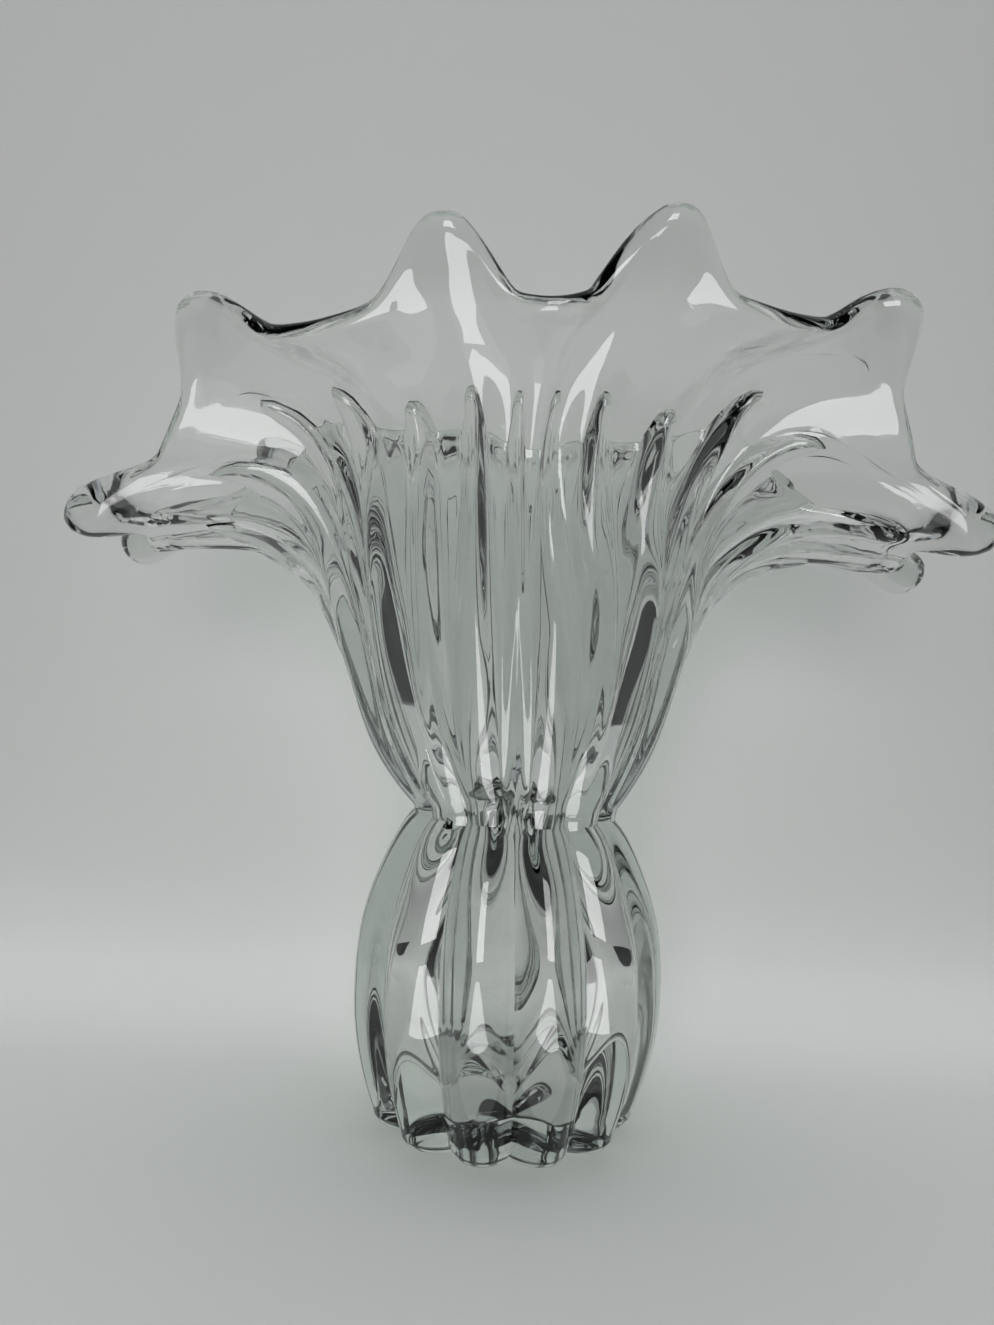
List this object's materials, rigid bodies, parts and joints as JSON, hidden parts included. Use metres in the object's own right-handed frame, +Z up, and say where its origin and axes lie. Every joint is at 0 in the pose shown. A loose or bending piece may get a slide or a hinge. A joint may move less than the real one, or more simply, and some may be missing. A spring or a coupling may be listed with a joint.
{
  "type": "glass flower vase",
  "caption": "Mouth-blown clear glass vase: lobed bulb on a flat base, pinched neck, and a wide oval flared mouth with a ribbed lower half and a rim pulled into tips.",
  "frame": {"origin": "middle of the flat base, on the surface that the vase stands on", "axes": "+Z up along the bulb's middle line, +X along the wide way of the oval mouth, front of the vase towards -Y"},
  "size_m": [0.3132, 0.1902, 0.2894],
  "materials": {
    "clear_glass": "polished clear glass with a faint grey-green tint"
  },
  "bodies": {
    "root": {"glass_vase": "clear_glass"}
  },
  "joints": []
}
